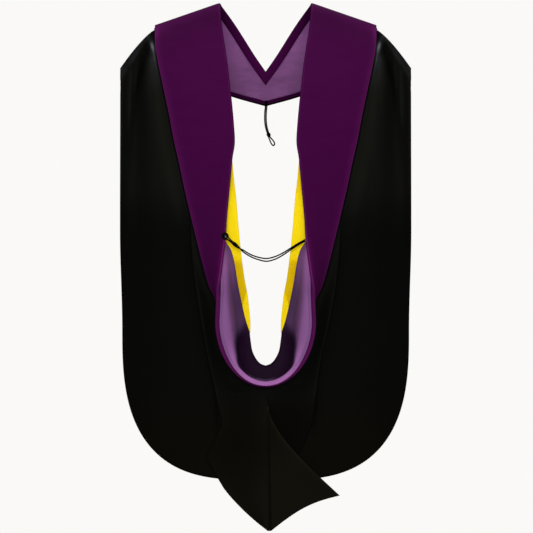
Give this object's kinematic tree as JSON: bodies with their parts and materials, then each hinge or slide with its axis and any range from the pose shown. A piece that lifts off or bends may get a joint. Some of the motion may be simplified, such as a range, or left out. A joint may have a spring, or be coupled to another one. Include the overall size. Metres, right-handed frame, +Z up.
{
  "type": "academic hood",
  "caption": "Doctoral hood with a velvet facing over both shoulders, a turned-out satin lining with a gold chevron, a black cowl, side panels and a pointed tail.",
  "frame": {"origin": "in the middle of the neck, level with the two highest points of the velvet over the shoulders", "axes": "+Z up, +Y the way the wearer faces, +X to the wearer's right; the turned-out lining shows towards -Y"},
  "size_m": [0.5764, 0.2952, 1.025],
  "materials": {
    "velvet": "dark plum velvet",
    "black_cloth": "matt black cloth",
    "gold_cloth": "bright gold satin",
    "purple_satin": "purple satin",
    "lilac_satin": "lilac satin",
    "black_binding": "black piping",
    "button": "polished black",
    "cord": "braided black cord"
  },
  "bodies": {
    "root": {"velvet_left": "velvet", "velvet_right": "velvet", "cowl_left": "black_cloth", "cowl_right": "black_cloth", "cape_left": "black_cloth", "cape_right": "black_cloth", "tail_flap": "black_cloth", "chevron_left": "gold_cloth", "chevron_right": "gold_cloth", "satin_lining": "purple_satin", "neckband_lining": "lilac_satin", "neckband_binding": "black_binding", "button": "button", "lining_cord": "cord", "cord_slide": "cord", "neck_cord": "cord", "neck_knot": "cord"}
  },
  "joints": []
}
